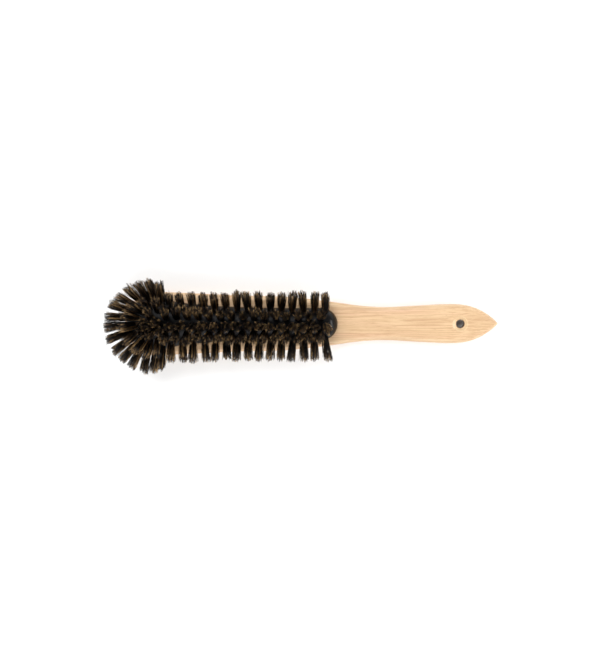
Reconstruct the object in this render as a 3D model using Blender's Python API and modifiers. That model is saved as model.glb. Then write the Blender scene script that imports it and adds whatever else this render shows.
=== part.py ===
"""A handled clothes brush: a beech back with its handle, a domed black bristle stock pinned to it,
and rows of bristle tufts, each row drawn into the stock on one wire.

Metres, +Z up. The brush lies on its flat back: +X points to the handle's tip, the bristles stand
up +Z, and the origin is at the middle of the bounding box's bottom face."""

import itertools
import math

import bmesh
import bpy
from mathutils import Matrix, Vector

# Driving dimensions
LENGTH = 0.3024  # handle tip to the foremost bristle tips
HANDLE_TIP_X = LENGTH / 2
GAP = 0.0003  # clearance between pieces that touch
MERGE = 0.000001  # distance at which points become one
SHARP_ANGLE = math.radians(40)

# The beech back: half widths along X, from the head's round nose to the waist and the grip
BACK_NOSE_X = -0.137
GRIP_X = 0.114
GRIP_HALF = 0.0150
BACK_OUTLINE = (
    (-0.112, 0.0243),
    (-0.088, 0.0235),
    (-0.054, 0.0218),
    (-0.011, 0.0205),
    (0.0225, 0.0168),
    (0.044, 0.0138),
    (0.0635, 0.0127),
    (0.088, 0.0138),
    (GRIP_X, GRIP_HALF),
)
TIP_POWER = 2.5  # fullness of the pointed end
BACK_HEIGHTS = ((-0.137, 0.0100), (0.030, 0.0100), (0.100, 0.0125), (HANDLE_TIP_X, 0.0085))
BULB_X, BULB_BACK_HALF = BACK_OUTLINE[0]
BACK_EDGE_RADIUS = 0.0036
BACK_CORNER_STEPS = 4
SLOPE_STEP = 0.0001  # over which the outline's slope is taken
LEAST_HALF = 0.0002
NOSE_STATIONS, BACK_STATIONS, TIP_STATIONS = 8, 18, 9

# The hanging hole, countersunk on both faces
HANG_X = 0.1215
HANG_RADIUS = 0.0031
HANG_SINK_RADIUS = 0.0058
HANG_SINK_DEPTH = 0.0024
HOLE_SIDES = 32
PAST_BACK = 0.002  # how far the hole cutter stands clear of the back's faces

# The stock: a dome of half-ellipse sections with a bulb at the nose
NOSE_X = -0.1145
BULB_HALF = 0.0205
SHAFT_HALF = 0.0124
STOCK_END_X = 0.027
SHAFT_END_X = STOCK_END_X - SHAFT_HALF
STOCK_OUTLINE = (
    (NOSE_X, BULB_HALF),
    (-0.094, 0.0167),
    (-0.0755, 0.0146),
    (-0.046, 0.0130),
    (-0.015, SHAFT_HALF),
    (SHAFT_END_X, SHAFT_HALF),
)
DOME_HEIGHT = 0.0130
STOCK_BASE_Z = BACK_HEIGHTS[0][1] + GAP
GLUE_RIM = 0.0045
DOME_END_STATIONS, DOME_STATIONS, DOME_SIDES = 6, 12, 12
WIRE_RECESS = 0.0020
RECESS_LEAST_HALF = 0.0020  # half of the recess's blunt ends
RECESS_STATIONS = 24

# Tufts
BRISTLE_LENGTH = 0.0190  # free length above the stock
RING_LENGTH = 0.0205  # free length of the longer tufts round the nose
HOLE_RADIUS = 0.0019
DRAW_HOLE_RADIUS = 0.0007
TUFT_ROOT_RADIUS = HOLE_RADIUS - GAP
TUFT_TIP_RADIUS = 0.0032
TUFT_SIDES = 6
PAST_DOME = 0.006  # how far the hole cutters stand clear of the dome
WIRE_RADIUS = 0.0003
LOOP_RADIUS = 0.0004  # of the doubled wire that holds a tuft
LOOP_BELOW = 0.0006  # how far the loop reaches past the wire's centre line
WIRE_HEIGHT = 0.0010  # of the wire's centre above the stock's underside

ROWS = 15
ROW_PITCH = 0.0084
FIRST_ROW_X = 0.0176
INNER_Y = 0.0056
OUTER_Y = 0.0104
OUTER_DRIFT = 0.35  # how much of the stock's widening the outer tufts follow
SIDE_TIP_Y = 0.0250  # how far out the side tufts' tips reach
INNER_LEAN = math.radians(13)
CENTRE_DEPTH = 0.0070  # of the blind holes
INNER_DEPTH = 0.0060
OUTER_DEPTH = 0.0040

# Nose rings: tufts, radius, furthest angle round the nose, turn of the plan direction, lean,
# depth of the holes, free length
OUTER_RING = (15, 0.0177, 116.0, 0.76, 60.0, 0.0045, RING_LENGTH)
MIDDLE_RING = (9, 0.0118, 112.0, 0.80, 33.0, 0.0050, BRISTLE_LENGTH)
ROSETTE_RADIUS = 0.0053
ROSETTE_LEAN = math.radians(6)
ROSETTE_TUFTS = 6

# Pins: one after every third row, on the centre line
PIN_ROWS = (2, 5, 8, 11, 14)
PIN_RADIUS = 0.0007
PIN_HEAD_RADIUS = 0.0014
PIN_HEAD_HEIGHT = 0.0008
PIN_FOOT_Z = 0.0030
PIN_SIDES = 12


# Scene and materials


def clear_scene():
    for obj in list(bpy.data.objects):
        bpy.data.objects.remove(obj, do_unlink=True)


def collection(name, hidden=False):
    made = bpy.data.collections.new(name)
    made.hide_render = hidden
    bpy.context.scene.collection.children.link(made)
    return made


def material(name, colour, roughness, metallic=0.0):
    made = bpy.data.materials.new(name)
    made.use_nodes = True
    shader = made.node_tree.nodes["Principled BSDF"]
    shader.inputs["Base Color"].default_value = (*colour, 1.0)
    shader.inputs["Roughness"].default_value = roughness
    shader.inputs["Metallic"].default_value = metallic
    return made


def new_object(name, mesh, where, finish=None):
    obj = bpy.data.objects.new(name, mesh)
    where.objects.link(obj)
    if finish:
        mesh.materials.append(finish)
    return obj


def as_helper(obj):
    obj.hide_render = True
    obj.display_type = "WIRE"
    return obj


def boolean(obj, operation, operand):
    """Adds an exact Boolean with one object or with all the objects of a collection."""
    step = obj.modifiers.new(operation.title(), "BOOLEAN")
    step.operation = operation
    step.solver = "EXACT"
    if isinstance(operand, bpy.types.Collection):
        step.operand_type = "COLLECTION"
        step.collection = operand
    else:
        step.object = operand


# Outlines


def along(knots, x):
    """A smooth curve through (x, value) knots, level at both ends."""
    if x <= knots[0][0]:
        return knots[0][1]
    if x >= knots[-1][0]:
        return knots[-1][1]
    slopes = [0.0]
    for before, after in zip(knots, knots[2:]):
        slopes.append((after[1] - before[1]) / (after[0] - before[0]))
    slopes.append(0.0)
    i = max(n for n, knot in enumerate(knots) if knot[0] <= x)
    (x0, v0), (x1, v1) = knots[i], knots[i + 1]
    span = x1 - x0
    t = (x - x0) / span
    return (
        v0 * (1 + 2 * t) * (1 - t) ** 2
        + v1 * t * t * (3 - 2 * t)
        + span * t * (1 - t) * (slopes[i] * (1 - t) - slopes[i + 1] * t)
    )


def round_end(distance, radius):
    """Share of the full width at this distance past the centre of a round end."""
    return math.sqrt(max(0.0, 1 - (distance / radius) ** 2))


def back_half_width(x):
    if x < BULB_X:
        return BULB_BACK_HALF * round_end(BULB_X - x, BULB_X - BACK_NOSE_X)
    if x > GRIP_X:
        past = min(1.0, (x - GRIP_X) / (HANDLE_TIP_X - GRIP_X))
        return GRIP_HALF * (1 - past**TIP_POWER)
    return along(BACK_OUTLINE, x)


def end_share(x):
    """How much the stock's round ends take off its width and its height."""
    if x < NOSE_X:
        return round_end(NOSE_X - x, BULB_HALF)
    if x > SHAFT_END_X:
        return round_end(x - SHAFT_END_X, SHAFT_HALF)
    return 1.0


def stock_half_width(x):
    return along(STOCK_OUTLINE, x) * end_share(x)


def dome_z(x, y):
    """Height of the stock's face at a place in plan."""
    across = y / stock_half_width(x)
    return STOCK_BASE_Z + DOME_HEIGHT * end_share(x) * math.sqrt(max(0.0, 1 - across**2))


# Shapes


def loft(name, sections, end_points):
    """A closed mesh through sections with equally many points, closed to a point at each end."""
    mesh = bpy.data.meshes.new(name)
    bm = bmesh.new()
    rings = [[bm.verts.new(point) for point in section] for section in sections]
    for ring, following in zip(rings, rings[1:]):
        for i in range(len(ring)):
            j = (i + 1) % len(ring)
            bm.faces.new((ring[i], ring[j], following[j], following[i]))
    for ring, point in ((rings[0], end_points[0]), (rings[-1], end_points[1])):
        apex = bm.verts.new(point)
        for i in range(len(ring)):
            bm.faces.new((ring[i], ring[(i + 1) % len(ring)], apex))
    bmesh.ops.recalc_face_normals(bm, faces=bm.faces)
    bm.to_mesh(mesh)
    bm.free()
    mesh.shade_smooth()
    mesh.set_sharp_from_angle(angle=SHARP_ANGLE)
    return mesh


def turned(name, profile, sides, where, finish=None):
    """A solid of revolution about Z. The profile runs from its top to its foot as (r, z)."""
    points = [(0, profile[0][1]), *profile, (0, profile[-1][1])]
    mesh = bpy.data.meshes.new(name)
    edges = [(i, i + 1) for i in range(len(points) - 1)]
    mesh.from_pydata([(radius, 0, z) for radius, z in points], edges, [])
    obj = new_object(name, mesh, where, finish)
    screw = obj.modifiers.new("Turn", "SCREW")
    screw.steps = screw.render_steps = sides
    screw.use_merge_vertices = True
    screw.merge_threshold = MERGE
    screw.use_smooth_shade = False
    return obj


def round_off(tip, inner, count):
    """Stations between a round end's tip and its inner end, closer together at the tip."""
    quarter = math.pi / 2 / count
    return [tip + (inner - tip) * (1 - math.cos(quarter * i)) for i in range(1, count)]


def even(start, stop, count):
    return [start + (stop - start) * i / count for i in range(count + 1)]


# The wooden back


def room_inside(x):
    """How far the middle of the board is from its outline, near enough."""
    if x < BULB_X:
        return x - BACK_NOSE_X
    return back_half_width(x) * edge_cosine(x)


def edge_cosine(x):
    """Cosine of the angle between the outline and the board's length."""
    rise = back_half_width(x + SLOPE_STEP) - back_half_width(x - SLOPE_STEP)
    return 2 * SLOPE_STEP / math.hypot(rise, 2 * SLOPE_STEP)


def inset_half_width(x, inset):
    """The board's half width at a level where its rounded edge has drawn in by inset."""
    if x < BULB_X:
        radius = BULB_X - BACK_NOSE_X - inset
        return math.sqrt(max(0.0, radius**2 - (BULB_X - x) ** 2))
    return max(0.0, back_half_width(x) - inset / edge_cosine(x))


def back_section(x):
    """Across the board: flat faces and round edges, which meet where the board ends."""
    height = along(BACK_HEIGHTS, x)
    radius = BACK_EDGE_RADIUS
    reach = math.acos(max(0.0, 1 - room_inside(x) / radius))
    corner = []
    for step in range(BACK_CORNER_STEPS + 1):
        turn = reach * step / BACK_CORNER_STEPS
        y = max(LEAST_HALF, inset_half_width(x, radius * (1 - math.cos(turn))))
        corner.append((y, radius * (1 - math.sin(turn))))
    upper = [(y, height - drop) for y, drop in corner]
    lower = [(y, drop) for y, drop in corner]
    right = list(reversed(lower)) + upper
    left = [(-y, z) for y, z in reversed(right)]
    return [(x, y, z) for y, z in right + left]


def hanging_hole(height, helpers):
    """A cutter for the hole and its two countersinks."""
    slope = (HANG_SINK_RADIUS - HANG_RADIUS) / HANG_SINK_DEPTH
    mouth = HANG_SINK_RADIUS + slope * PAST_BACK
    profile = (
        (mouth, height + PAST_BACK),
        (HANG_RADIUS, height - HANG_SINK_DEPTH),
        (HANG_RADIUS, HANG_SINK_DEPTH),
        (mouth, -PAST_BACK),
    )
    hole = as_helper(turned("hanging_hole", profile, HOLE_SIDES, helpers))
    hole.location.x = HANG_X
    return hole


def wooden_back(parts, helpers, pins, finish):
    nose = round_off(BACK_NOSE_X, BULB_X, NOSE_STATIONS)
    shaft = even(BULB_X, GRIP_X, BACK_STATIONS)
    tip = even(GRIP_X, HANDLE_TIP_X, TIP_STATIONS)[1:-1]
    stations = nose + shaft + tip
    middle = BACK_HEIGHTS[0][1] / 2
    ends = ((BACK_NOSE_X, 0, middle), (HANDLE_TIP_X, 0, BACK_HEIGHTS[-1][1] / 2))
    mesh = loft("wooden_back", [back_section(x) for x in stations], ends)
    back = new_object("wooden_back", mesh, parts, finish)
    boolean(back, "DIFFERENCE", hanging_hole(along(BACK_HEIGHTS, HANG_X), helpers))
    boolean(back, "DIFFERENCE", pins)
    return back


# Where the tufts stand


class Tuft:
    """One tuft: its root on the dome, the way it leans, its hole's depth and its free length."""

    def __init__(self, x, y, plan_angle, lean, depth, length=BRISTLE_LENGTH):
        self.root = Vector((x, y, dome_z(x, y)))
        flat = Vector((math.cos(plan_angle), math.sin(plan_angle), 0)) * math.sin(lean)
        self.axis = flat + Vector((0, 0, math.cos(lean)))
        self.depth = depth
        self.length = length

    def at(self, height):
        """The point on the tuft's axis at a height above the stock's underside."""
        rise = self.root.z - STOCK_BASE_Z - height
        return self.root - self.axis * (rise / self.axis.z)

    def matrix(self):
        turn = self.axis.to_track_quat("Z", "Y").to_matrix().to_4x4()
        return Matrix.Translation(self.root) @ turn


def cross_row(number):
    """Outer, inner, centre, inner and outer tuft, the inner two set back by half a pitch."""
    x = FIRST_ROW_X - ROW_PITCH * number
    back_x = x - ROW_PITCH / 2
    outer_y = OUTER_Y + OUTER_DRIFT * (stock_half_width(x) - SHAFT_HALF)
    outer_lean = math.asin((SIDE_TIP_Y - outer_y) / BRISTLE_LENGTH)
    left, right = math.pi / 2, -math.pi / 2
    return [
        Tuft(x, outer_y, left, outer_lean, OUTER_DEPTH),
        Tuft(back_x, INNER_Y, left, INNER_LEAN, INNER_DEPTH),
        Tuft(x, 0, 0, 0, CENTRE_DEPTH),
        Tuft(back_x, -INNER_Y, right, INNER_LEAN, INNER_DEPTH),
        Tuft(x, -outer_y, right, outer_lean, OUTER_DEPTH),
    ]


def nose_ring(count, radius, furthest, turn, lean, depth, length):
    """Tufts round the nose. Angles count from straight ahead, which is -X."""
    tufts = []
    for angle in even(-furthest, furthest, count - 1):
        place, heading = math.radians(180 + angle), math.radians(180 + angle * turn)
        x = NOSE_X + radius * math.cos(place)
        y = radius * math.sin(place)
        tufts.append(Tuft(x, y, heading, math.radians(lean), depth, length))
    return tufts


def nose_rosette():
    tufts = [Tuft(NOSE_X, 0, 0, 0, CENTRE_DEPTH)]
    for number in range(ROSETTE_TUFTS):
        angle = 2 * math.pi * (number + 0.5) / ROSETTE_TUFTS
        x = NOSE_X + ROSETTE_RADIUS * math.cos(angle)
        y = ROSETTE_RADIUS * math.sin(angle)
        tufts.append(Tuft(x, y, angle, ROSETTE_LEAN, INNER_DEPTH))
    return tufts


def tuft_groups():
    """Each node's name with its tufts, in the order in which the wire draws them."""
    groups = {f"tuft_row_{n + 1:02d}": cross_row(n) for n in range(ROWS)}
    groups["nose_ring_outer"] = nose_ring(*OUTER_RING)
    groups["nose_ring_middle"] = nose_ring(*MIDDLE_RING)
    groups["nose_rosette"] = nose_rosette()
    return groups


# Tufts on their wire, and the stock


def tuft_profile(tuft):
    """The flared tuft, its knuckle at the foot of the hole, and the doubled wire below it."""
    foot = -(tuft.root - tuft.at(WIRE_HEIGHT)).length
    knuckle = -tuft.depth + GAP
    return (
        (TUFT_TIP_RADIUS, tuft.length),
        (TUFT_ROOT_RADIUS, 0),
        (TUFT_ROOT_RADIUS, knuckle),
        (LOOP_RADIUS, knuckle),
        (LOOP_RADIUS, foot - LOOP_BELOW),
    )


def hole_profile(tuft):
    """The stepped hole, from above the dome to the wire recess."""
    foot = -(tuft.root - tuft.at(WIRE_HEIGHT)).length
    return (
        (HOLE_RADIUS, PAST_DOME),
        (HOLE_RADIUS, -tuft.depth),
        (DRAW_HOLE_RADIUS, -tuft.depth),
        (DRAW_HOLE_RADIUS, foot),
    )


def wire(name, tufts, finish, parts):
    """The drawing wire in the recess, as a mesh: a curve takes no Boolean."""
    curve = bpy.data.curves.new(name, "CURVE")
    curve.dimensions = "3D"
    curve.bevel_depth = WIRE_RADIUS
    curve.bevel_resolution = 0
    curve.use_fill_caps = True
    spline = curve.splines.new("POLY")
    spline.points.add(len(tufts) - 1)
    for point, tuft in zip(spline.points, tufts):
        point.co = (*tuft.at(WIRE_HEIGHT), 1)
    guide = new_object(name + "_guide", curve, parts)
    evaluated = guide.evaluated_get(bpy.context.evaluated_depsgraph_get())
    mesh = bpy.data.meshes.new_from_object(evaluated)
    bpy.data.objects.remove(guide)
    bm = bmesh.new()
    bm.from_mesh(mesh)
    bmesh.ops.remove_doubles(bm, verts=bm.verts, dist=MERGE)
    bm.to_mesh(mesh)
    bm.free()
    mesh.materials.clear()
    return new_object(name, mesh, parts, finish)


def tuft_row(name, tufts, finish, parts):
    """A row's tufts joined to the wire that draws them, as they would come out of the stock."""
    bundle = collection(name + "_tufts", hidden=True)
    for number, tuft in enumerate(tufts, 1):
        shape = turned(f"{name}_tuft_{number}", tuft_profile(tuft), TUFT_SIDES, bundle)
        as_helper(shape).matrix_world = tuft.matrix()
    row = wire(name, tufts, finish, parts)
    boolean(row, "UNION", bundle)
    return row


def stock_section(x):
    half = stock_half_width(x)
    top = dome_z(x, 0) - STOCK_BASE_Z
    points = []
    for turn in even(0, math.pi, DOME_SIDES):
        points.append((x, half * math.cos(turn), STOCK_BASE_Z + top * math.sin(turn)))
    return points


def bristle_stock(parts, helpers, groups, pins, finish):
    nose = round_off(NOSE_X - BULB_HALF, NOSE_X, DOME_END_STATIONS)
    shaft = even(NOSE_X, SHAFT_END_X, DOME_STATIONS)
    tail = round_off(STOCK_END_X, SHAFT_END_X, DOME_END_STATIONS)[::-1]
    sections = [stock_section(x) for x in nose + shaft + tail]
    ends = ((NOSE_X - BULB_HALF, 0, STOCK_BASE_Z), (STOCK_END_X, 0, STOCK_BASE_Z))
    stock = new_object("bristle_stock", loft("bristle_stock", sections, ends), parts, finish)
    boolean(stock, "DIFFERENCE", wire_recess(helpers))
    holes = collection("tuft_holes", hidden=True)
    for tuft in itertools.chain(*groups.values()):
        hole = turned("tuft_hole", hole_profile(tuft), TUFT_SIDES, holes)
        as_helper(hole).matrix_world = tuft.matrix()
    boolean(stock, "DIFFERENCE", holes)
    boolean(stock, "DIFFERENCE", pins)
    return stock


def wire_recess(helpers):
    """A cutter for the shallow pocket under the stock, inside its glue rim."""
    stations = even(NOSE_X - BULB_HALF + GLUE_RIM, STOCK_END_X - GLUE_RIM, RECESS_STATIONS)
    bm = bmesh.new()
    outline = [(x, max(RECESS_LEAST_HALF, stock_half_width(x) - GLUE_RIM)) for x in stations]
    outline += [(x, -y) for x, y in reversed(outline)]
    face = bm.faces.new([bm.verts.new((x, y, STOCK_BASE_Z - WIRE_RECESS)) for x, y in outline])
    lifted = bmesh.ops.extrude_face_region(bm, geom=[face])["geom"]
    top = [v for v in lifted if isinstance(v, bmesh.types.BMVert)]
    bmesh.ops.translate(bm, verts=top, vec=(0, 0, 2 * WIRE_RECESS))
    bmesh.ops.recalc_face_normals(bm, faces=bm.faces)
    mesh = bpy.data.meshes.new("wire_recess")
    bm.to_mesh(mesh)
    bm.free()
    return as_helper(new_object("wire_recess", mesh, helpers))


# Pins


def pin_profile(slack, top):
    """A panel pin from its head down, grown by slack, for the pin and for its hole."""
    head = -PIN_HEAD_HEIGHT - slack
    foot = PIN_FOOT_Z - slack - STOCK_BASE_Z - DOME_HEIGHT
    return (
        (PIN_HEAD_RADIUS + slack, top),
        (PIN_HEAD_RADIUS + slack, head),
        (PIN_RADIUS + slack, head),
        (PIN_RADIUS + slack, foot),
    )


def pins_and_holes(parts, finish):
    """The pins, and a collection of cutters for their holes."""
    holes = collection("pin_holes", hidden=True)
    for number, row in enumerate(PIN_ROWS, 1):
        x = FIRST_ROW_X - ROW_PITCH * (row + 0.5)
        place = (x, 0, STOCK_BASE_Z + DOME_HEIGHT)
        turned(f"fixing_pin_{number}", pin_profile(0, 0), PIN_SIDES, parts, finish).location = place
        hole = turned("pin_hole", pin_profile(GAP, PIN_HEAD_HEIGHT), PIN_SIDES, holes)
        as_helper(hole).location = place
    return holes


def main():
    clear_scene()
    parts = collection("clothes_brush")
    helpers = collection("cutters", hidden=True)
    beech = material("beech", (0.80, 0.58, 0.36), 0.45)
    black = material("black_lacquer", (0.012, 0.012, 0.013), 0.18)
    bristle = material("bristle", (0.045, 0.030, 0.020), 0.55)
    brass = material("brass", (0.75, 0.55, 0.25), 0.30, 1.0)
    groups = tuft_groups()
    pins = pins_and_holes(parts, brass)
    wooden_back(parts, helpers, pins, beech)
    bristle_stock(parts, helpers, groups, pins, black)
    for name, tufts in groups.items():
        tuft_row(name, tufts, bristle, parts)


main()
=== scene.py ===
"""The looks of a handled clothes brush: a lacquered beech back, a gloss black bristle stock and
natural hog bristles, each one modelled, in tufts that stand in the stock's drilled holes."""

import math

import bmesh
import bpy
import numpy as np
from mathutils import Matrix, Vector


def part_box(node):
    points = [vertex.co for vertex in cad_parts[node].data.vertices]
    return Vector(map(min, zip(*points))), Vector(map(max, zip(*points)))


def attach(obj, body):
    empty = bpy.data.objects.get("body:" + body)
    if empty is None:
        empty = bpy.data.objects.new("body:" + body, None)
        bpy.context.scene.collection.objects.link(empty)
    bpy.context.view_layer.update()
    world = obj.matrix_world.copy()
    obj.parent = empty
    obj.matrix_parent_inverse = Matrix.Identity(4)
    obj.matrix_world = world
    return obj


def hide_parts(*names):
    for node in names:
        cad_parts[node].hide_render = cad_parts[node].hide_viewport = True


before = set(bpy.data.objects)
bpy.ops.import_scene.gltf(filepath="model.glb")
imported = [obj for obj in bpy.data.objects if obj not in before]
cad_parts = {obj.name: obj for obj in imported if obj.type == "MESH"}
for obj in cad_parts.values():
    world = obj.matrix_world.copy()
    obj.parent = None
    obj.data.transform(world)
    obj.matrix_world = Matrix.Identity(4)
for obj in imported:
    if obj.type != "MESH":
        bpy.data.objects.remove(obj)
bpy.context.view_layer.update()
BODY = "root"
DRAWS = np.random.default_rng(1907)

# The beech back, in the CAD's own outline
BACK_LOW, BACK_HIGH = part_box("wooden_back")
BACK_NOSE_X, HANDLE_TIP_X = BACK_LOW.x, BACK_HIGH.x
GRIP_X = 0.114
GRIP_HALF = 0.0150
BACK_OUTLINE = (
    (-0.112, 0.0243),
    (-0.088, 0.0235),
    (-0.054, 0.0218),
    (-0.011, 0.0205),
    (0.0225, 0.0168),
    (0.044, 0.0138),
    (0.0635, 0.0127),
    (0.088, 0.0138),
    (GRIP_X, GRIP_HALF),
)
BULB_X, BULB_BACK_HALF = BACK_OUTLINE[0]
TIP_POWER = 2.5
BACK_HEIGHTS = ((-0.137, 0.0100), (0.030, 0.0100), (0.100, 0.0125), (HANDLE_TIP_X, 0.0085))
BACK_EDGE_RADIUS = 0.0036
EDGE_STEPS = 10
SLOPE_STEP = 0.0001
LEAST_HALF = 0.00005
HANG_X = 0.1215
HANG_RADIUS = 0.0031
HANG_SINK_RADIUS = 0.0058
HANG_SINK_DEPTH = 0.0024
HANG_SIDES = 96
PAST_BACK = 0.002  # how far the hole's cutter stands clear of the faces
BACK_NOSE_STATIONS, BACK_STATIONS, BACK_TIP_STATIONS = 24, 110, 40
SURFACE_SHARES = (0.66, 0.33)  # points across the flat faces, as shares of their half width
LOFT_SHARP, BACK_SHARP, STOCK_SHARP = 50, 32, 40  # degrees past which an edge stays sharp

# The stock
STOCK_LOW, STOCK_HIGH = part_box("bristle_stock")
BULB_HALF = STOCK_HIGH.y
NOSE_X = STOCK_LOW.x + BULB_HALF
SHAFT_HALF = 0.0124
STOCK_END_X = STOCK_HIGH.x
SHAFT_END_X = STOCK_END_X - SHAFT_HALF
STOCK_OUTLINE = (
    (NOSE_X, BULB_HALF),
    (-0.094, 0.0167),
    (-0.0755, 0.0146),
    (-0.046, 0.0130),
    (-0.015, SHAFT_HALF),
    (SHAFT_END_X, SHAFT_HALF),
)
STOCK_BASE_Z = STOCK_LOW.z
DOME_HEIGHT = STOCK_HIGH.z - STOCK_LOW.z
STOCK_NOSE_STATIONS, STOCK_STATIONS, STOCK_TAIL_STATIONS = 18, 90, 16
DOME_SIDES = 44

# Tufts
BRISTLE_LENGTH = 0.0190
RING_LENGTH = 0.0205
HOLE_RADIUS = 0.0019
HOLE_SIDES = 20
PAST_DOME = 0.006  # how far the hole cutters stand clear of the dome
CAD_TIP_RADIUS = 0.0032
INNER_Y = 0.0056
OUTER_Y = 0.0104
OUTER_DRIFT = 0.35
SIDE_TIP_Y = 0.0250
INNER_LEAN = math.radians(13)
CENTRE_DEPTH = 0.0070
INNER_DEPTH = 0.0060
OUTER_DEPTH = 0.0040
ROWS = 15
ROW_PITCH = 0.0084
OUTER_RING = (15, 0.0177, 116.0, 0.76, 60.0, 0.0045, RING_LENGTH)
MIDDLE_RING = (9, 0.0118, 112.0, 0.80, 33.0, 0.0050, BRISTLE_LENGTH)
ROSETTE_RADIUS = 0.0053
ROSETTE_LEAN = math.radians(6)
ROSETTE_TUFTS = 6

# Bristles
BRISTLES = 220  # in a tuft
CLUMPS = 50  # strands that a tuft's bristles gather in
BRISTLE_SIDES = 3
BRISTLE_RINGS = 6
BRISTLE_RADIUS = 0.00015
BUNDLE_ROOT = 0.0018
BUNDLE_WAIST = 0.0024  # where the bundle has opened up, just above the stock
SIDE_BUNDLE_TIP = 0.0034
NOSE_BUNDLE_TIP = 0.0039
TOP_BUNDLE_TIP = 0.0041
BUNDLE_STEPS = (0, 0.18, 0.34, 1)  # where the bundle has its root, waist and tip radii
BURIED = 0.8  # how much of its hole a bristle reaches down
RING_SPACING, OPENING = 0.85, 1.6  # powers: rings along a bristle, and how late the tips part
TUFT_SWAY = math.radians(2.5)
CLUMP_DRIFT, BRISTLE_DRIFT = 0.15, 0.06  # at the tips, in bundle radii
GATHER = 0.42  # how far the bristles draw in to their strand's centre
CURL = 0.0004
SHORTER, EDGE_SHORTER, CLUMP_SHORTER = 0.0005, 0.0005, 0.0022  # how the ends are ragged
LONGER = 0.0009
LENGTH_LIMITS = (-0.0008, 0.0050)  # least and most that a bristle can be short
CLUMP_TONE = 0.70  # how much of a bristle's tone its strand shares
THICKNESSES = (0.75, 1.2)
TAPER = ((0, 0.6, 1), (1.0, 0.92, 0.5))

# How far use has swept the tips, along X for the forward sweeps and along Y for the others.
# The top and forward sweeps grow from COMB_START_X to COMB_END_X. Pairs are +Y side, -Y side.
COMB_START_X, COMB_END_X = -0.020, -0.100
TOP_SWEEP = 0.0045  # of the inner tufts on the +Y side
SIDE_SWEEPS = (-0.0008, -0.0019)
FORWARD_SWEEPS = (-0.0008, 0.0015)

# Camera and light
VIEW_TARGET = Vector((-0.0019, -0.0016, 0))
VIEW_DISTANCE = 1.0
VIEW_TILT = math.radians(4.5)  # from straight down, toward +Y
LENS, SENSOR = 71.3, 36  # mm
CLIP_START = 0.01
SOFTBOXES = (  # name, place, width and height, power
    ("key", (-0.6, 1.0, 1.3), (1.4, 1.4), 22),
    ("fill", (-0.1, -1.2, 1.2), (1.4, 1.4), 18),
    ("strip", (1.4, 0.0, 0.3), (1.2, 0.2), 13),
)
TENT = ((0.25, 0.58), (0.88, 0.84), (0.96, 0.10))  # brightness by the sine of the elevation
FLOOR_HALF = 4.0

# Looks: noise scales are per metre along X, Y and Z, and ramps are (factor, colour or value)
GRAIN_TILT = math.radians(0.8)
SLOW_GRAIN, BLUSH, GRAIN_LINES = (5, 75, 60), (9, 150, 90), (17, 1150, 800)
FLECKS = (230, 2600, 2200)
BEECH_TONES = (
    (0.32, (0.575, 0.385, 0.220)),
    (0.50, (0.640, 0.445, 0.260)),
    (0.70, (0.680, 0.490, 0.295)),
)
BLUSH_SHARE, BLUSH_COLOUR = ((0.52, 0.0), (0.70, 0.55)), (0.645, 0.395, 0.255)
LINE_SHARE, LINE_COLOUR = ((0.44, 0.0), (0.62, 0.70)), (0.45, 0.26, 0.135)
FLECK_SHARE, FLECK_COLOUR = ((0.60, 0.0), (0.72, 0.45)), (0.34, 0.18, 0.09)
# Painted highlight: the countersink is painted a lighter beech, standing in for its lit wall.
SINK_HIGHLIGHT_SHARE, SINK_HIGHLIGHT_COLOUR = 0.35, (0.80, 0.62, 0.37)
# Painted shade: the bore's wall is painted dark for the shade deep in the hole, over its darker end
# grain.
BORE_EDGE, BORE_SHADE_COLOUR = 1.06 * HANG_RADIUS, (0.075, 0.026, 0.013)
HOLE_BLUR = 1.04  # where a tint round the hole has ended, in its radius
LACQUER_TONES = ((0.3, (0.0025, 0.0025, 0.0028)), (0.7, (0.0050, 0.0047, 0.0045)))
LACQUER_ROUGHNESS = ((0.3, 0.20), (0.7, 0.32))
SHAFT_TONES = (
    (0.00, (0.0018, 0.0014, 0.0011)),
    (0.60, (0.0032, 0.0021, 0.0015)),
    (0.72, (0.036, 0.018, 0.008)),
    (0.88, (0.36, 0.200, 0.080)),
)
TIP_TONES = (
    (0.05, (0.0035, 0.0024, 0.0017)),
    (0.54, (0.010, 0.0062, 0.0040)),
    (0.68, (0.130, 0.072, 0.032)),
    (0.88, (0.62, 0.41, 0.19)),
)
TIP_SHARE = ((0.45, 0.0), (0.95, 1.0))
BRISTLE_SPECKLE = ((0.3, 0.65), (0.7, 1.0))
BRASS_TONES = ((0.3, (0.13, 0.085, 0.040)), (0.65, (0.34, 0.24, 0.110)))
BRASS_ROUGHNESS = ((0.3, 0.45), (0.7, 0.22))
PAPER_TONES = ((0.3, (0.955, 0.955, 0.955)), (0.7, (0.975, 0.975, 0.975)))
GRAIN_RELIEF = 0.0001


# Outlines


def along(knots, x):
    """A smooth curve through (x, value) knots, level at both ends."""
    if x <= knots[0][0]:
        return knots[0][1]
    if x >= knots[-1][0]:
        return knots[-1][1]
    slopes = [0.0]
    for before, after in zip(knots, knots[2:]):
        slopes.append((after[1] - before[1]) / (after[0] - before[0]))
    slopes.append(0.0)
    i = max(n for n, knot in enumerate(knots) if knot[0] <= x)
    (x0, v0), (x1, v1) = knots[i], knots[i + 1]
    span = x1 - x0
    t = (x - x0) / span
    return (
        v0 * (1 + 2 * t) * (1 - t) ** 2
        + v1 * t * t * (3 - 2 * t)
        + span * t * (1 - t) * (slopes[i] * (1 - t) - slopes[i + 1] * t)
    )


def round_end(distance, radius):
    return math.sqrt(max(0.0, 1 - (distance / radius) ** 2))


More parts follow.
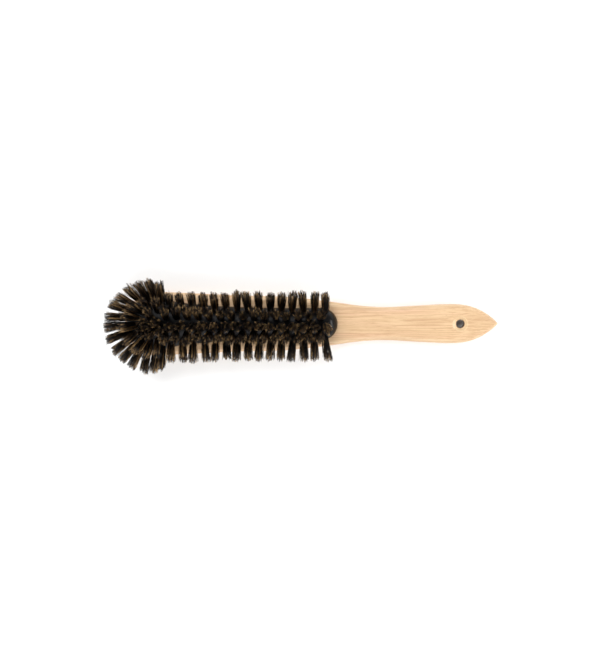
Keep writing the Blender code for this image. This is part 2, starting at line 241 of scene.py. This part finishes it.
def back_half_width(x):
    if x < BULB_X:
        return BULB_BACK_HALF * round_end(BULB_X - x, BULB_X - BACK_NOSE_X)
    if x > GRIP_X:
        past = min(1.0, (x - GRIP_X) / (HANDLE_TIP_X - GRIP_X))
        return GRIP_HALF * (1 - past**TIP_POWER)
    return along(BACK_OUTLINE, x)


def end_share(x):
    """How much the stock's round ends take off its width and its height."""
    if x < NOSE_X:
        return round_end(NOSE_X - x, BULB_HALF)
    if x > SHAFT_END_X:
        return round_end(x - SHAFT_END_X, SHAFT_HALF)
    return 1.0


def stock_half_width(x):
    return along(STOCK_OUTLINE, x) * end_share(x)


def dome_z(x, y):
    across = y / stock_half_width(x)
    return STOCK_BASE_Z + DOME_HEIGHT * end_share(x) * math.sqrt(max(0.0, 1 - across**2))


def even(start, stop, count):
    return [start + (stop - start) * i / count for i in range(count + 1)]


def round_off(tip, inner, count):
    """Stations between a round end's tip and its inner end, closer together at the tip."""
    quarter = math.pi / 2 / count
    return [tip + (inner - tip) * (1 - math.cos(quarter * i)) for i in range(1, count)]


# Meshes


def show(name, mesh, material, slot, *nodes):
    """Puts a piece in the scene, on the brush's one body, in place of the named CAD nodes."""
    piece = bpy.data.objects.new(name, mesh)
    bpy.context.scene.collection.objects.link(piece)
    mesh.materials.clear()
    mesh.materials.append(material)
    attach(piece, BODY)
    if nodes:
        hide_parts(*nodes)
    return piece


def loft(name, sections, end_points):
    """A closed smooth mesh through sections with equally many points."""
    mesh = bpy.data.meshes.new(name)
    bm = bmesh.new()
    rings = [[bm.verts.new(point) for point in section] for section in sections]
    for ring, following in zip(rings, rings[1:]):
        for i in range(len(ring)):
            j = (i + 1) % len(ring)
            bm.faces.new((ring[i], ring[j], following[j], following[i]))
    for ring, point in ((rings[0], end_points[0]), (rings[-1], end_points[1])):
        apex = bm.verts.new(point)
        for i in range(len(ring)):
            bm.faces.new((ring[i], ring[(i + 1) % len(ring)], apex))
    bmesh.ops.recalc_face_normals(bm, faces=bm.faces)
    bm.to_mesh(mesh)
    bm.free()
    mesh.shade_smooth()
    mesh.set_sharp_from_angle(angle=math.radians(LOFT_SHARP))
    return mesh


def lathe(profile, sides, matrix):
    """A closed solid of revolution about the matrix's Z axis, from (r, z) points, top first."""
    bm = bmesh.new()
    turns = [2 * math.pi * i / sides for i in range(sides)]
    rings = []
    for radius, z in profile:
        places = [matrix @ Vector((radius * math.cos(a), radius * math.sin(a), z)) for a in turns]
        rings.append([bm.verts.new(place) for place in places])
    for upper, lower in zip(rings, rings[1:]):
        for i in range(sides):
            j = (i + 1) % sides
            bm.faces.new((upper[i], lower[i], lower[j], upper[j]))
    bm.faces.new(rings[0])
    bm.faces.new(reversed(rings[-1]))
    mesh = bpy.data.meshes.new("lathe")
    bm.to_mesh(mesh)
    bm.free()
    return mesh


def joined(meshes):
    """One mesh out of several, which stay separate bodies."""
    bm = bmesh.new()
    for mesh in meshes:
        bm.from_mesh(mesh)
        bpy.data.meshes.remove(mesh)
    whole = bpy.data.meshes.new("joined")
    bm.to_mesh(whole)
    bm.free()
    return whole


def cut(mesh, cutter, sharp_degrees):
    """The mesh with the cutter's volume taken away by an exact Boolean."""
    blank = bpy.data.objects.new("blank", mesh)
    tool = bpy.data.objects.new("tool", cutter)
    for obj in (blank, tool):
        bpy.context.scene.collection.objects.link(obj)
    step = blank.modifiers.new("Cut", "BOOLEAN")
    step.operation = "DIFFERENCE"
    step.solver = "EXACT"
    step.object = tool
    evaluated = blank.evaluated_get(bpy.context.evaluated_depsgraph_get())
    result = bpy.data.meshes.new_from_object(evaluated)
    for obj in (blank, tool):
        bpy.data.objects.remove(obj)
    result.shade_smooth()
    result.set_sharp_from_angle(angle=math.radians(sharp_degrees))
    return result


# The beech back


def edge_cosine(x):
    rise = back_half_width(x + SLOPE_STEP) - back_half_width(x - SLOPE_STEP)
    return 2 * SLOPE_STEP / math.hypot(rise, 2 * SLOPE_STEP)


def room_inside(x):
    if x < BULB_X:
        return x - BACK_NOSE_X
    return back_half_width(x) * edge_cosine(x)


def inset_half_width(x, inset):
    if x < BULB_X:
        radius = BULB_X - BACK_NOSE_X - inset
        return math.sqrt(max(0.0, radius**2 - (BULB_X - x) ** 2))
    return max(0.0, back_half_width(x) - inset / edge_cosine(x))


def back_section(x):
    """Across the board: flat faces with points along them, and round edges."""
    height = along(BACK_HEIGHTS, x)
    radius = BACK_EDGE_RADIUS
    reach = math.acos(max(0.0, 1 - room_inside(x) / radius))
    corner = []
    for turn in even(0, reach, EDGE_STEPS):
        y = max(LEAST_HALF, inset_half_width(x, radius * (1 - math.cos(turn))))
        corner.append((y, radius * (1 - math.sin(turn))))
    inner_y, drop = corner[-1]
    corner += [(share * inner_y, drop) for share in SURFACE_SHARES]
    upper = [(y, height - drop) for y, drop in corner]
    lower = [(y, drop) for y, drop in corner]
    right = lower[::-1] + upper
    left = [(-y, z) for y, z in reversed(right)]
    return [(x, y, z) for y, z in right + left]


def hanging_hole():
    """A cutter for the hole and its two countersinks."""
    height = along(BACK_HEIGHTS, HANG_X)
    slope = (HANG_SINK_RADIUS - HANG_RADIUS) / HANG_SINK_DEPTH
    mouth = HANG_SINK_RADIUS + slope * PAST_BACK
    profile = (
        (mouth, height + PAST_BACK),
        (HANG_RADIUS, height - HANG_SINK_DEPTH),
        (HANG_RADIUS, HANG_SINK_DEPTH),
        (mouth, -PAST_BACK),
    )
    return lathe(profile, HANG_SIDES, Matrix.Translation((HANG_X, 0, 0)))


def beech_back(material):
    nose = round_off(BACK_NOSE_X, BULB_X, BACK_NOSE_STATIONS)
    shaft = even(BULB_X, GRIP_X, BACK_STATIONS)
    tip = even(GRIP_X, HANDLE_TIP_X, BACK_TIP_STATIONS)[1:-1]
    sections = [back_section(x) for x in nose + shaft + tip]
    ends = (
        (BACK_NOSE_X, 0, BACK_HEIGHTS[0][1] / 2),
        (HANDLE_TIP_X, 0, BACK_HEIGHTS[-1][1] / 2),
    )
    blank = loft("beech_back", sections, ends)
    mesh = cut(blank, hanging_hole(), BACK_SHARP)
    mesh.name = "beech_back"
    return show("beech_back", mesh, material, "beech", "wooden_back")


# Tufts


class Tuft:
    """One tuft: its root on the dome, the way it leans, its hole's depth and its free length."""

    def __init__(self, x, y, plan_angle, lean, depth, length=BRISTLE_LENGTH):
        self.root = Vector((x, y, dome_z(x, y)))
        flat = Vector((math.cos(plan_angle), math.sin(plan_angle), 0)) * math.sin(lean)
        self.axis = flat + Vector((0, 0, math.cos(lean)))
        self.depth = depth
        self.length = length

    def matrix(self):
        turn = self.axis.to_track_quat("Z", "Y").to_matrix().to_4x4()
        return Matrix.Translation(self.root) @ turn


def cross_row(node):
    """Outer, inner, centre, inner and outer tuft, the inner two set back by half a pitch."""
    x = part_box(node)[1].x - CAD_TIP_RADIUS
    back_x = x - ROW_PITCH / 2
    outer_y = OUTER_Y + OUTER_DRIFT * (stock_half_width(x) - SHAFT_HALF)
    outer_lean = math.asin((SIDE_TIP_Y - outer_y) / BRISTLE_LENGTH)
    left, right = math.pi / 2, -math.pi / 2
    return [
        Tuft(x, outer_y, left, outer_lean, OUTER_DEPTH),
        Tuft(back_x, INNER_Y, left, INNER_LEAN, INNER_DEPTH),
        Tuft(x, 0, 0, 0, CENTRE_DEPTH),
        Tuft(back_x, -INNER_Y, right, INNER_LEAN, INNER_DEPTH),
        Tuft(x, -outer_y, right, outer_lean, OUTER_DEPTH),
    ]


def nose_ring(count, radius, furthest, turn, lean, depth, length):
    """Tufts round the nose. Angles count from straight ahead, which is -X."""
    tufts = []
    for angle in even(-furthest, furthest, count - 1):
        place, heading = math.radians(180 + angle), math.radians(180 + angle * turn)
        x = NOSE_X + radius * math.cos(place)
        y = radius * math.sin(place)
        tufts.append(Tuft(x, y, heading, math.radians(lean), depth, length))
    return tufts


def nose_rosette():
    tufts = [Tuft(NOSE_X, 0, 0, 0, CENTRE_DEPTH)]
    for number in range(ROSETTE_TUFTS):
        angle = 2 * math.pi * (number + 0.5) / ROSETTE_TUFTS
        x = NOSE_X + ROSETTE_RADIUS * math.cos(angle)
        y = ROSETTE_RADIUS * math.sin(angle)
        tufts.append(Tuft(x, y, angle, ROSETTE_LEAN, INNER_DEPTH))
    return tufts


def tuft_groups():
    """Each CAD node's tufts, in the order in which the wire draws them."""
    rows = [f"tuft_row_{n:02d}" for n in range(1, ROWS + 1)]
    groups = {node: cross_row(node) for node in rows}
    groups["nose_ring_outer"] = nose_ring(*OUTER_RING)
    groups["nose_ring_middle"] = nose_ring(*MIDDLE_RING)
    groups["nose_rosette"] = nose_rosette()
    return groups


# The stock


def stock_section(x):
    half = stock_half_width(x)
    top = dome_z(x, 0) - STOCK_BASE_Z
    turns = even(0, math.pi, DOME_SIDES)
    return [(x, half * math.cos(t), STOCK_BASE_Z + top * math.sin(t)) for t in turns]


def stock_holes(groups):
    """One cutter for all the blind tuft holes."""
    cutters = []
    for tufts in groups.values():
        for tuft in tufts:
            profile = ((HOLE_RADIUS, PAST_DOME), (HOLE_RADIUS, -tuft.depth))
            cutters.append(lathe(profile, HOLE_SIDES, tuft.matrix()))
    return joined(cutters)


def black_stock(groups, material):
    nose = round_off(STOCK_LOW.x, NOSE_X, STOCK_NOSE_STATIONS)
    shaft = even(NOSE_X, SHAFT_END_X, STOCK_STATIONS)
    tail = round_off(STOCK_END_X, SHAFT_END_X, STOCK_TAIL_STATIONS)[::-1]
    sections = [stock_section(x) for x in nose + shaft + tail]
    ends = ((STOCK_LOW.x, 0, STOCK_BASE_Z), (STOCK_END_X, 0, STOCK_BASE_Z))
    blank = loft("black_stock", sections, ends)
    mesh = cut(blank, stock_holes(groups), STOCK_SHARP)
    mesh.name = "black_stock"
    return show("black_stock", mesh, material, "black_lacquer", "bristle_stock")


# Bristles


def is_side(tuft):
    """Whether a tuft leans well out: a row's two end tufts and the nose's two rings."""
    return math.hypot(min(0.0, tuft.root.x - NOSE_X), tuft.root.y) > 0.5 * (INNER_Y + OUTER_Y)


def bundle_radius(tuft, t):
    """The tuft's radius from the root in its hole, at 0, to the tips, at 1."""
    tip = TOP_BUNDLE_TIP
    if is_side(tuft):
        tip = SIDE_BUNDLE_TIP if tuft.root.x > NOSE_X else NOSE_BUNDLE_TIP
    return np.interp(t, BUNDLE_STEPS, (BUNDLE_ROOT, BUNDLE_ROOT, BUNDLE_WAIST, tip))


def sweep(tuft):
    """How far use has pushed a tuft's tips along X and Y."""
    worn = float(np.interp(tuft.root.x, (COMB_END_X, COMB_START_X), (1, 0)))
    if is_side(tuft):
        side = 0 if tuft.root.y > 0 else 1
        return Vector((FORWARD_SWEEPS[side] * worn, SIDE_SWEEPS[side], 0))
    return Vector((0, TOP_SWEEP * worn if tuft.root.y > 0.5 * INNER_Y else 0, 0))


def bristle_paths(tuft, draws):
    """Ring centres of a tuft's bristles in the tuft's own frame, and each bristle's tone."""
    index = np.arange(BRISTLES)
    spread = np.sqrt((index + 0.5) / BRISTLES)
    turn = index * math.pi * (3 - math.sqrt(5)) + draws.uniform(0, 2 * math.pi)
    flat = np.stack([np.cos(turn), np.sin(turn)], 1) * spread[:, None]
    centres = flat[draws.choice(BRISTLES, CLUMPS, replace=False)]
    apart = ((flat[:, None] - centres[None]) ** 2).sum(2)
    clump = apart.argmin(1)
    drift = draws.normal(0, CLUMP_DRIFT, (CLUMPS, 2))[clump]
    drift = drift + draws.normal(0, BRISTLE_DRIFT, (BRISTLES, 2))
    gather = GATHER * (centres[clump] - flat)
    pushed = (tuft.matrix().to_3x3().inverted() @ sweep(tuft)).to_2d()
    sway = np.tan(draws.normal(0, TUFT_SWAY, 2)) * tuft.length + np.array(pushed)
    curl = draws.normal(0, CURL, (BRISTLES, 2))
    short = draws.exponential(SHORTER, BRISTLES) + EDGE_SHORTER * spread**2
    short += draws.uniform(0, CLUMP_SHORTER, CLUMPS)[clump] - LONGER
    length = tuft.length - np.clip(short, *LENGTH_LIMITS)
    buried = BURIED * tuft.depth
    t = np.linspace(0, 1, BRISTLE_RINGS) ** RING_SPACING
    opened = t[None, :, None] ** OPENING
    offset = flat[:, None] + (drift + gather)[:, None] * opened
    paths = np.empty((BRISTLES, BRISTLE_RINGS, 3))
    paths[:, :, :2] = offset * bundle_radius(tuft, t)[None, :, None]
    paths[:, :, :2] += (curl[:, None] * (4 * t * (1 - t))[None, :, None]) + sway * opened
    paths[:, :, 2] = -buried + (length[:, None] + buried) * t
    tone = CLUMP_TONE * draws.random(CLUMPS)[clump]
    tone = tone + (1 - CLUMP_TONE) * draws.random(BRISTLES)
    return paths, tone


def tube_faces(count):
    """Faces of equal tubes of BRISTLE_RINGS rings, each closed at both ends."""
    per_tube = BRISTLE_RINGS * BRISTLE_SIDES
    sides = []
    for low in range(0, per_tube - BRISTLE_SIDES, BRISTLE_SIDES):
        for side in range(BRISTLE_SIDES):
            corner, after = low + side, low + (side + 1) % BRISTLE_SIDES
            sides.append((corner, after, after + BRISTLE_SIDES, corner + BRISTLE_SIDES))
    starts = np.arange(count) * per_tube
    quads = (starts[:, None, None] + np.array(sides)[None]).reshape(-1, 4)
    tips = starts[:, None] + np.arange(per_tube - BRISTLE_SIDES, per_tube)[None]
    roots = starts[:, None] + np.arange(BRISTLE_SIDES)[::-1][None]
    return quads.tolist() + tips.tolist() + roots.tolist()


def bristle_mesh(name, tufts, draws):
    """Tapered tubes along every bristle's path, with its tone and its reach as attributes."""
    steps = np.linspace(0, 1, BRISTLE_RINGS)
    taper = np.interp(steps, *TAPER)
    corner = 2 * math.pi * np.arange(BRISTLE_SIDES) / BRISTLE_SIDES
    ring = np.stack([np.cos(corner), np.sin(corner), np.zeros(BRISTLE_SIDES)], 1)
    blocks, tones = [], []
    for tuft in tufts:
        paths, tone = bristle_paths(tuft, draws)
        radii = BRISTLE_RADIUS * draws.uniform(*THICKNESSES, BRISTLES)[:, None] * taper[None]
        points = paths[:, :, None, :] + radii[:, :, None, None] * ring[None, None]
        matrix = np.array(tuft.matrix())
        blocks.append((points @ matrix[:3, :3].T + matrix[:3, 3]).reshape(-1, 3))
        tones.append(tone)
    points = np.concatenate(blocks)
    count = BRISTLES * len(tufts)
    mesh = bpy.data.meshes.new(name)
    mesh.from_pydata(points.tolist(), [], tube_faces(count))
    mesh.shade_smooth()
    tone = np.repeat(np.concatenate(tones), BRISTLE_RINGS * BRISTLE_SIDES)
    reach = np.tile(np.repeat(steps, BRISTLE_SIDES), count)
    for label, values in (("tone", tone), ("reach", reach)):
        layer = mesh.attributes.new(label, "FLOAT", "POINT")
        layer.data.foreach_set("value", values.astype(np.float32))
    return mesh


def bristles(groups, material):
    for node, tufts in groups.items():
        name = "bristles_" + node
        show(name, bristle_mesh(name, tufts, DRAWS), material, "bristle", node)


# Materials


class Finish:
    """A material's node tree, with short calls for the nodes that this scene uses."""

    def __init__(self, name, roughness, **constants):
        self.material = bpy.data.materials.new(name)
        self.material.use_nodes = True
        self.tree = self.material.node_tree
        self.shader = self.tree.nodes["Principled BSDF"]
        self.shader.inputs["Roughness"].default_value = roughness
        for socket, value in constants.items():
            self.shader.inputs[socket.replace("_", " ")].default_value = value

    def node(self, kind, inputs, **settings):
        made = self.tree.nodes.new(kind)
        for key, value in settings.items():
            setattr(made, key, value)
        for socket, value in inputs.items():
            if isinstance(value, bpy.types.NodeSocket):
                self.tree.links.new(value, made.inputs[socket])
            else:
                made.inputs[socket].default_value = value
        return made

    def place(self, scale, turn=(0, 0, 0)):
        """The object's own coordinates in metres, stretched by scale."""
        source = self.tree.nodes.new("ShaderNodeTexCoord").outputs["Object"]
        inputs = {"Vector": source, "Scale": scale, "Rotation": turn}
        return self.node("ShaderNodeMapping", inputs).outputs["Vector"]

    def noise(self, vector, scale=1.0, detail=3.0, roughness=0.5, distortion=0.0):
        inputs = {
            "Vector": vector,
            "Scale": scale,
            "Detail": detail,
            "Roughness": roughness,
            "Distortion": distortion,
        }
        return self.node("ShaderNodeTexNoise", inputs).outputs["Fac"]

    def attribute(self, name):
        return self.node("ShaderNodeAttribute", {}, attribute_name=name).outputs["Fac"]

    def ramp(self, factor, *stops):
        made = self.node("ShaderNodeValToRGB", {"Fac": factor})
        elements = made.color_ramp.elements
        while len(elements) < len(stops):
            elements.new(0.5)
        for element, (position, colour) in zip(elements, stops):
            element.position = position
            element.color = (*colour, 1) if isinstance(colour, tuple) else (colour,) * 3 + (1,)
        return made.outputs["Color"]

    def mix(self, factor, first, second, blend="MIX"):
        made = self.tree.nodes.new("ShaderNodeMix")
        made.data_type = "RGBA"
        made.blend_type = blend
        sockets = {s.identifier: s for s in made.inputs}
        places = (("Factor_Float", factor), ("A_Color", first), ("B_Color", second))
        for key, value in places:
            if isinstance(value, bpy.types.NodeSocket):
                self.tree.links.new(value, sockets[key])
            elif key == "Factor_Float":
                sockets[key].default_value = value
            else:
                sockets[key].default_value = (*value, 1)
        return next(s for s in made.outputs if s.identifier == "Result_Color")

    def wire_up(self, socket, output):
        self.tree.links.new(output, self.shader.inputs[socket])

    def bump(self, height, strength, distance):
        inputs = {"Height": height, "Strength": strength, "Distance": distance}
        self.wire_up("Normal", self.node("ShaderNodeBump", inputs).outputs["Normal"])


def beech():
    """Straight-grained beech along X, under a thin clear lacquer, with a painted highlight in the
    countersink and painted shade in the bore.
    """
    finish = Finish("beech", 0.42, Coat_Weight=0.08, Coat_Roughness=0.3)
    tilt = (0, 0, GRAIN_TILT)
    slow = finish.noise(finish.place(SLOW_GRAIN, tilt), 1.0, 3.0, 0.5, 0.12)
    base = finish.ramp(slow, *BEECH_TONES)
    blush = finish.noise(finish.place(BLUSH, tilt), 1.0, 2.0, 0.5, 0.1)
    blushed = finish.mix(finish.ramp(blush, *BLUSH_SHARE), base, BLUSH_COLOUR)
    lines = finish.noise(finish.place(GRAIN_LINES, tilt), 1.0, 4.0, 0.62, 0.05)
    lined = finish.mix(finish.ramp(lines, *LINE_SHARE), blushed, LINE_COLOUR)
    flecks = finish.noise(finish.place(FLECKS, tilt), 1.0, 2.0, 0.5)
    flecked = finish.mix(finish.ramp(flecks, *FLECK_SHARE), lined, FLECK_COLOUR)
    # Painted highlight: the countersink is painted lighter than the wood around it.
    sink_highlighted = finish.mix(near_hole(finish, HANG_SINK_RADIUS, SINK_HIGHLIGHT_SHARE), flecked, SINK_HIGHLIGHT_COLOUR)
    # Painted shade: the bore is painted dark, over its darker end grain.
    bore_shaded = finish.mix(near_hole(finish, BORE_EDGE, 1.0), sink_highlighted, BORE_SHADE_COLOUR)
    finish.wire_up("Base Color", bore_shaded)
    finish.bump(lines, 0.12, GRAIN_RELIEF)
    return finish.material


def near_hole(finish, radius, most):
    """The most allowed within a radius of the hanging hole's axis, and 0 outside it."""
    flat = {"Vector": finish.place((1, 1, 0)), "Location": (-HANG_X, 0, 0)}
    centred = finish.node("ShaderNodeMapping", flat).outputs["Vector"]
    distance = finish.node("ShaderNodeVectorMath", {0: centred}, operation="LENGTH")
    inputs = {"Value": distance.outputs["Value"], "From Min": radius, "From Max": HOLE_BLUR * radius}
    inputs.update({"To Min": most, "To Max": 0.0})
    return finish.node("ShaderNodeMapRange", inputs).outputs["Result"]


def black_lacquer():
    finish = Finish("black_lacquer", 0.25, Specular_IOR_Level=0.1)
    cloud = finish.noise(finish.place((60, 60, 60)), 1.0, 3.0)
    finish.wire_up("Base Color", finish.ramp(cloud, *LACQUER_TONES))
    finish.wire_up("Roughness", finish.ramp(cloud, *LACQUER_ROUGHNESS))
    finish.bump(finish.noise(finish.place((900, 900, 900)), 1.0, 2.0), 0.08, GRAIN_RELIEF)
    return finish.material


def hog_bristle():
    finish = Finish("hog_bristle", 0.45, Specular_IOR_Level=0.3)
    tone = finish.attribute("tone")
    reach = finish.attribute("reach")
    shaft = finish.ramp(tone, *SHAFT_TONES)
    tip = finish.ramp(tone, *TIP_TONES)
    share = finish.ramp(reach, *TIP_SHARE)
    coloured = finish.mix(share, shaft, tip)
    speckle = finish.noise(finish.place((900, 900, 900)), 1.0, 2.0)
    shade = finish.ramp(speckle, *BRISTLE_SPECKLE)
    finish.wire_up("Base Color", finish.mix(1.0, coloured, shade, "MULTIPLY"))
    return finish.material


def brass():
    finish = Finish("brass", 0.3, Metallic=1.0)
    tarnish = finish.noise(finish.place((1500, 1500, 1500)), 1.0, 4.0)
    finish.wire_up("Base Color", finish.ramp(tarnish, *BRASS_TONES))
    finish.wire_up("Roughness", finish.ramp(tarnish, *BRASS_ROUGHNESS))
    return finish.material


def floor_paper():
    finish = Finish("floor_paper", 0.9, Specular_IOR_Level=0.0)
    fibre = finish.noise(finish.place((30, 30, 30)), 1.0, 3.0)
    finish.wire_up("Base Color", finish.ramp(fibre, *PAPER_TONES))
    return finish.material


# Studio


def camera():
    """Almost straight down, from a metre, with the handle to the right."""
    view = Vector((0, math.sin(VIEW_TILT), math.cos(VIEW_TILT)))
    data = bpy.data.cameras.new("camera")
    data.lens = LENS
    data.sensor_width = SENSOR
    data.clip_start = CLIP_START
    obj = bpy.data.objects.new("camera", data)
    obj.location = VIEW_TARGET + view * VIEW_DISTANCE
    across = Vector((1, 0, 0))
    up = view.cross(across)
    obj.rotation_euler = Matrix((across, up, view)).transposed().to_euler()
    bpy.context.scene.collection.objects.link(obj)
    bpy.context.scene.camera = obj


def softbox(name, place, size, power):
    """A rectangular light that faces the origin."""
    data = bpy.data.lights.new(name, "AREA")
    data.shape = "RECTANGLE"
    data.size, data.size_y = size
    data.energy = power
    obj = bpy.data.objects.new(name, data)
    obj.location = place
    obj.rotation_euler = (-Vector(place)).to_track_quat("-Z", "Y").to_euler()
    bpy.context.scene.collection.objects.link(obj)


def tent():
    """A light tent, brighter toward its roof, with a dark opening overhead for the camera."""
    world = bpy.data.worlds.new("tent")
    world.use_nodes = True
    tree = world.node_tree
    background = tree.nodes["Background"]
    direction = tree.nodes.new("ShaderNodeTexCoord").outputs["Generated"]
    height = tree.nodes.new("ShaderNodeSeparateXYZ")
    tree.links.new(direction, height.inputs[0])
    ramp = tree.nodes.new("ShaderNodeValToRGB")
    tree.links.new(height.outputs["Z"], ramp.inputs["Fac"])
    ramp.color_ramp.elements.new(0.5)
    for element, (position, grey) in zip(ramp.color_ramp.elements, TENT):
        element.position = position
        element.color = (grey, grey, grey, 1)
    tree.links.new(ramp.outputs["Color"], background.inputs["Color"])
    bpy.context.scene.world = world


def studio():
    tent()
    for values in SOFTBOXES:
        softbox(*values)
    mesh = bpy.data.meshes.new("floor")
    half = FLOOR_HALF
    corners = [(-half, -half, 0), (half, -half, 0), (half, half, 0), (-half, half, 0)]
    mesh.from_pydata(corners, [], [(0, 1, 2, 3)])
    mesh.materials.append(floor_paper())
    floor = bpy.data.objects.new("floor", mesh)
    bpy.context.scene.collection.objects.link(floor)
    bpy.context.scene.view_settings.view_transform = "Standard"


def brass_pins(material):
    """The CAD's own pins, in their metal."""
    for name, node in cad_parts.items():
        if name.startswith("fixing_pin"):
            node.data.materials.clear()
            node.data.materials.append(material)


def main():
    groups = tuft_groups()
    beech_back(beech())
    black_stock(groups, black_lacquer())
    bristles(groups, hog_bristle())
    brass_pins(brass())
    camera()
    studio()


main()
